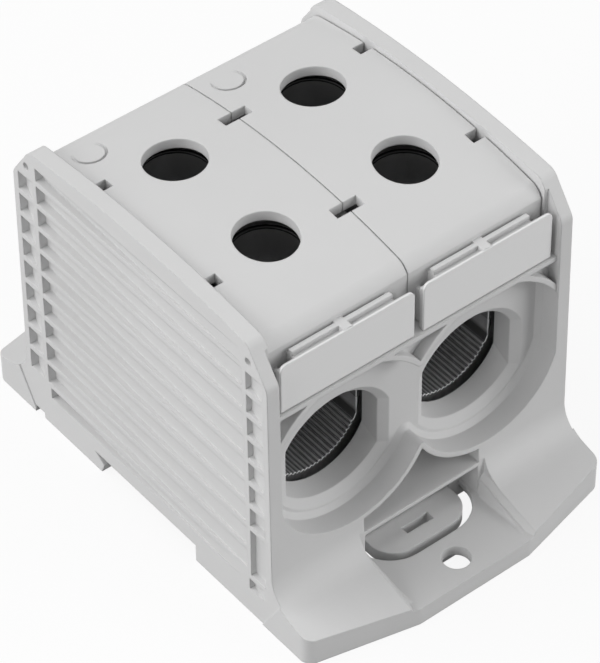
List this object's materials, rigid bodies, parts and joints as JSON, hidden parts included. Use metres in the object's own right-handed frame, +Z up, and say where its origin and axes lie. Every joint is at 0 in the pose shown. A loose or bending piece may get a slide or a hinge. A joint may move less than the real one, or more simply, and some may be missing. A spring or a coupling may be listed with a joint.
{
  "type": "feed-through terminal block",
  "caption": "Heavy-cable feed-through terminal block: ribbed plastic housing, clamp bodies with hexagon-socket screws, lift-off covers, rail foot and screw flanges.",
  "frame": {"origin": "middle of the base, on the mounting surface", "axes": "+X across the poles to the right, +Y from the slider's end to the rear, +Z up"},
  "size_m": [0.085, 0.1272, 0.0846],
  "materials": {
    "housing_plastic": "fine matte",
    "cover_plastic": "fine matte",
    "latch_plastic": "satin",
    "clamp_aluminium": "extruded, satin",
    "screw_steel": "zinc plated",
    "pad_steel": "turned",
    "spring_steel": "bright wire"
  },
  "bodies": {
    "base": {"housing": "housing_plastic", "clamp_body_left": "clamp_aluminium", "clamp_body_right": "clamp_aluminium", "latch_spring": "spring_steel"},
    "left_cover": {"cover_left": "cover_plastic"},
    "right_cover": {"cover_right": "cover_plastic"},
    "slider": {"rail_latch": "latch_plastic"},
    "left_front_pad": {"pressure_pad_left_front": "pad_steel"},
    "left_front_screw": {"clamp_screw_left_front": "screw_steel"},
    "left_rear_pad": {"pressure_pad_left_rear": "pad_steel"},
    "left_rear_screw": {"clamp_screw_left_rear": "screw_steel"},
    "right_front_pad": {"pressure_pad_right_front": "pad_steel"},
    "right_front_screw": {"clamp_screw_right_front": "screw_steel"},
    "right_rear_pad": {"pressure_pad_right_rear": "pad_steel"},
    "right_rear_screw": {"clamp_screw_right_rear": "screw_steel"}
  },
  "joints": [
    {"name": "left_cover_lift", "type": "slide", "parent": "base", "child": "left_cover", "axis": [0, 0, 1], "range_m": [0, 0.03]},
    {"name": "right_cover_lift", "type": "slide", "parent": "base", "child": "right_cover", "axis": [0, 0, 1], "range_m": [0, 0.03]},
    {"name": "rail_latch_pull", "type": "slide", "parent": "base", "child": "slider", "axis": [0, -1, 0], "range_m": [0, 0.00165], "stiffness_N_per_m": 300, "springref_m": -0.002, "deforming": ["latch_spring"]},
    {"name": "left_front_pad_travel", "type": "slide", "parent": "base", "child": "left_front_pad", "axis": [0, 0, -1], "range_m": [0, 0.014]},
    {"name": "left_front_screw_turn", "type": "hinge", "parent": "left_front_pad", "child": "left_front_screw", "pos_m": [-0.019, -0.0156, 0.06], "axis": [0, 0, -1], "range_deg": [0, 2520]},
    {"name": "left_rear_pad_travel", "type": "slide", "parent": "base", "child": "left_rear_pad", "axis": [0, 0, -1], "range_m": [0, 0.014]},
    {"name": "left_rear_screw_turn", "type": "hinge", "parent": "left_rear_pad", "child": "left_rear_screw", "pos_m": [-0.019, 0.0156, 0.06], "axis": [0, 0, -1], "range_deg": [0, 2520]},
    {"name": "right_front_pad_travel", "type": "slide", "parent": "base", "child": "right_front_pad", "axis": [0, 0, -1], "range_m": [0, 0.014]},
    {"name": "right_front_screw_turn", "type": "hinge", "parent": "right_front_pad", "child": "right_front_screw", "pos_m": [0.019, -0.0156, 0.06], "axis": [0, 0, -1], "range_deg": [0, 2520]},
    {"name": "right_rear_pad_travel", "type": "slide", "parent": "base", "child": "right_rear_pad", "axis": [0, 0, -1], "range_m": [0, 0.014]},
    {"name": "right_rear_screw_turn", "type": "hinge", "parent": "right_rear_pad", "child": "right_rear_screw", "pos_m": [0.019, 0.0156, 0.06], "axis": [0, 0, -1], "range_deg": [0, 2520]}
  ],
  "couplings": [
    {"joint": "left_front_pad_travel", "follows": "left_front_screw_turn", "m_per_rad": 0.00031831},
    {"joint": "left_rear_pad_travel", "follows": "left_rear_screw_turn", "m_per_rad": 0.00031831},
    {"joint": "right_front_pad_travel", "follows": "right_front_screw_turn", "m_per_rad": 0.00031831},
    {"joint": "right_rear_pad_travel", "follows": "right_rear_screw_turn", "m_per_rad": 0.00031831}
  ]
}
